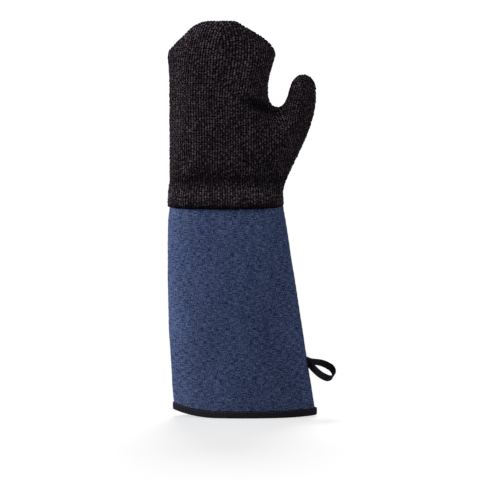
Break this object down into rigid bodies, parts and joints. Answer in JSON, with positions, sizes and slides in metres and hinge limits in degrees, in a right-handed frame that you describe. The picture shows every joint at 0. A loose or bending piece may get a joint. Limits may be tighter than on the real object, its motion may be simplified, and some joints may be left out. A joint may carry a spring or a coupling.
{
  "type": "long oven mitt",
  "caption": "Long gauntlet oven mitt: padded dark terry hand with a thumb, denim forearm cuff with a bound hem, and a hanging loop.",
  "frame": {"origin": "on the surface that the hem stands on, under the middle of the bounding box", "axes": "+Z from the hem up to the fingertips, +X towards the thumb, -Y out of the palm"},
  "size_m": [0.256, 0.0622, 0.5996],
  "materials": {
    "terry": "black looped terry cotton, wales up the hand",
    "batting": "cream needled heat-proof wadding",
    "cotton_lining": "plain-weave grey cotton",
    "denim": "mid-blue slubby denim",
    "tape": "black woven cotton tape",
    "thread": "black polyester sewing thread"
  },
  "bodies": {
    "cuff": {"denim_front_panel": "denim", "cuff_lining_front": "cotton_lining", "terry_edge_front": "terry", "denim_back_panel": "denim", "cuff_lining_back": "cotton_lining", "terry_edge_back": "terry", "side_seam_left": "thread", "side_seam_right": "thread", "hem_topstitch": "thread", "wrist_stitch": "thread", "hem_binding": "tape"},
    "hand": {"palm_terry_front": "terry", "palm_terry_back": "terry", "palm_batting_front": "batting", "palm_batting_back": "batting", "palm_lining_front": "cotton_lining", "palm_lining_back": "cotton_lining", "palm_seam_left": "thread", "palm_seam_crotch": "thread", "palm_seam_right": "thread"},
    "fingers": {"fingers_terry_front": "terry", "fingers_terry_back": "terry", "fingers_batting_front": "batting", "fingers_batting_back": "batting", "fingers_lining_front": "cotton_lining", "fingers_lining_back": "cotton_lining", "fingers_seam": "thread"},
    "thumb": {"thumb_terry_front": "terry", "thumb_terry_back": "terry", "thumb_batting_front": "batting", "thumb_batting_back": "batting", "thumb_lining_front": "cotton_lining", "thumb_lining_back": "cotton_lining", "thumb_seam": "thread"},
    "loop": {"hanging_loop": "tape", "loop_bar_tack": "thread"}
  },
  "joints": [
    {"name": "wrist_flex", "type": "hinge", "parent": "cuff", "child": "hand", "pos_m": [-0.037, -0.028, 0.341], "axis": [1, 0, 0], "range_deg": [0, 35]},
    {"name": "finger_curl", "type": "hinge", "parent": "hand", "child": "fingers", "pos_m": [-0.045, -0.0265, 0.48], "axis": [1, 0, 0], "range_deg": [0, 50]},
    {"name": "thumb_fold", "type": "hinge", "parent": "hand", "child": "thumb", "pos_m": [0.0404, -0.0279, 0.471], "axis": [0.4737, 0, -0.8807], "range_deg": [0, 40]},
    {"name": "loop_swing", "type": "hinge", "parent": "cuff", "child": "loop", "pos_m": [0.0898, 0, 0.0855], "axis": [-0.1625, 0, 0.9867], "range_deg": [-75, 75]}
  ]
}
